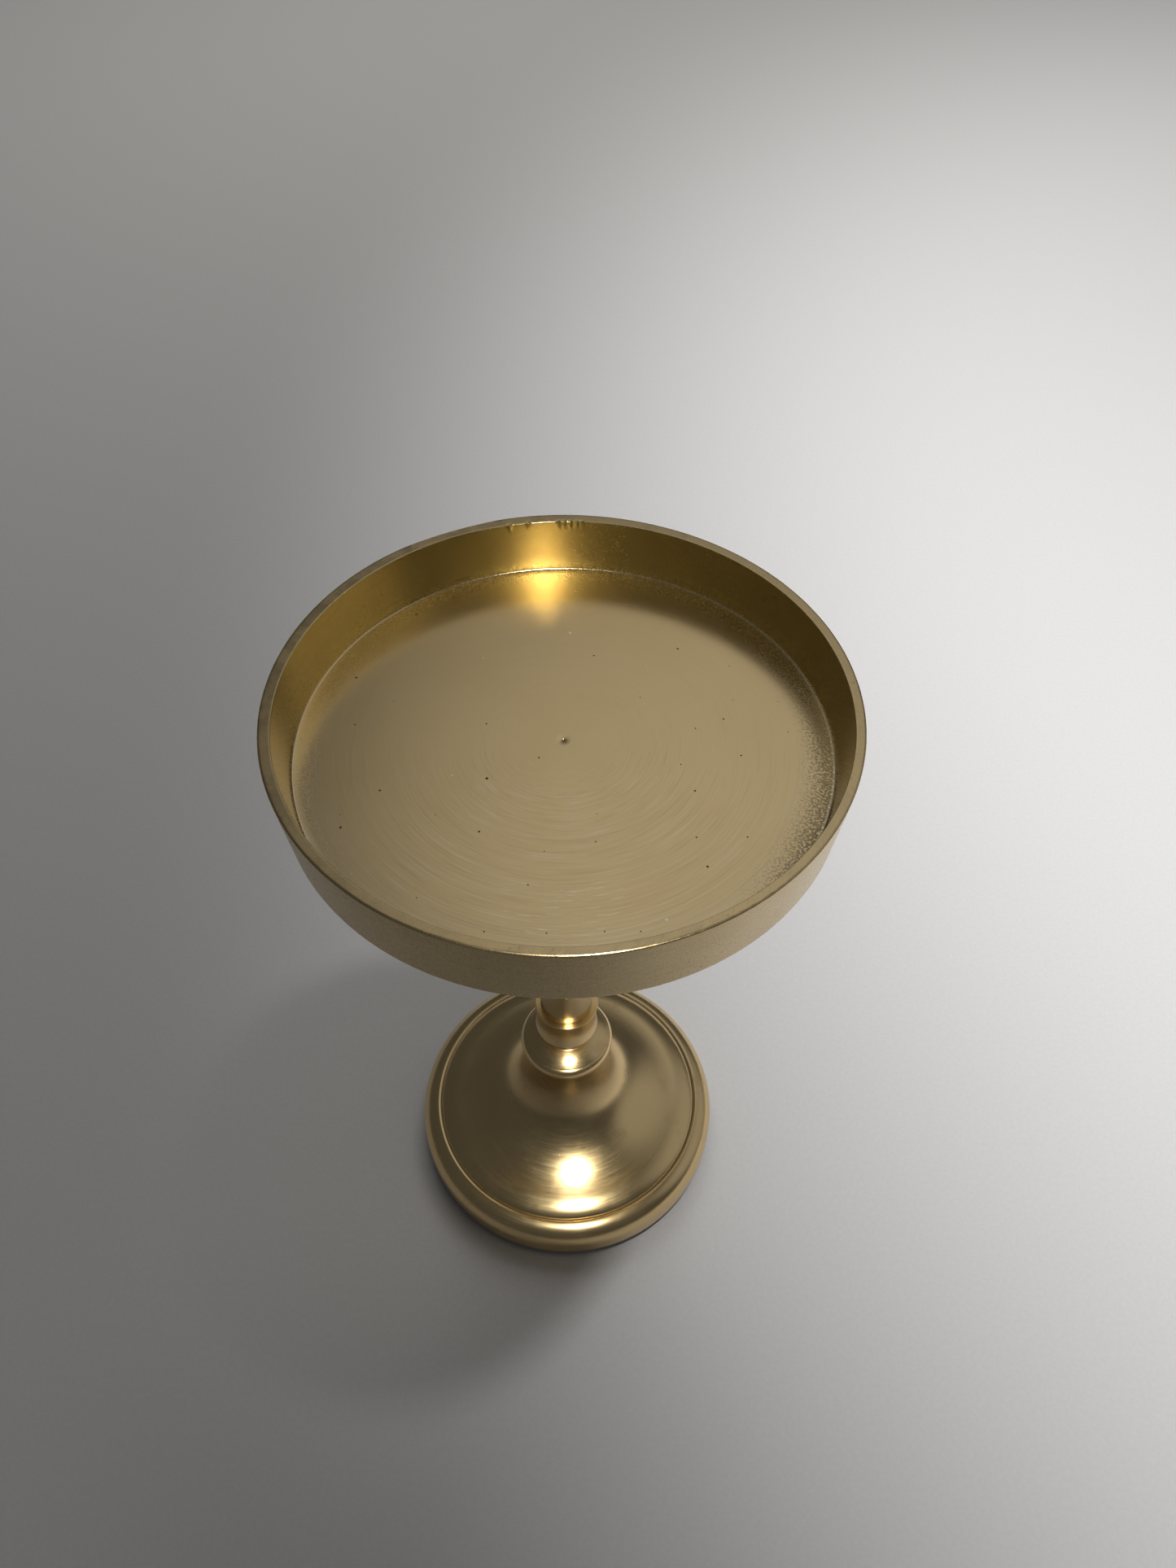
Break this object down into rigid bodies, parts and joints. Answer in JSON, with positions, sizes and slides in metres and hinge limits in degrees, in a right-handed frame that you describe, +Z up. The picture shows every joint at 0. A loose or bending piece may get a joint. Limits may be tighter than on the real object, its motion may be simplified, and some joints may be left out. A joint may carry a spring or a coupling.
{
  "type": "pillar candle holder",
  "caption": "Round shallow dish with a low wall on a slim turned column, with a collar, a low bead and a flared bell base on a rounded foot.",
  "frame": {"origin": "centre of the felt pad's underside, on the surface the holder stands on", "axes": "+Z up along the turned axis of the pan, stem and base; X and Y are level, and the piece is round about Z"},
  "size_m": [0.1, 0.1, 0.16],
  "materials": {
    "pan_metal": "pale antique brass tone, finely turned floor and brushed wall, satin",
    "base_metal": "pale antique brass tone, smooth satin polish",
    "plated_steel": "zinc plated",
    "card": "plain grey board",
    "felt": "dark pressed felt"
  },
  "bodies": {
    "root": {"pan": "pan_metal", "upper_collar": "base_metal", "stem_tube": "base_metal", "lower_collar": "base_metal", "bead_ring": "base_metal", "bell_base": "base_metal", "tie_rod": "plated_steel", "flat_washer": "plated_steel", "spring_washer": "plated_steel", "hex_nut": "plated_steel", "backing_card": "card", "felt_pad": "felt"}
  },
  "joints": []
}
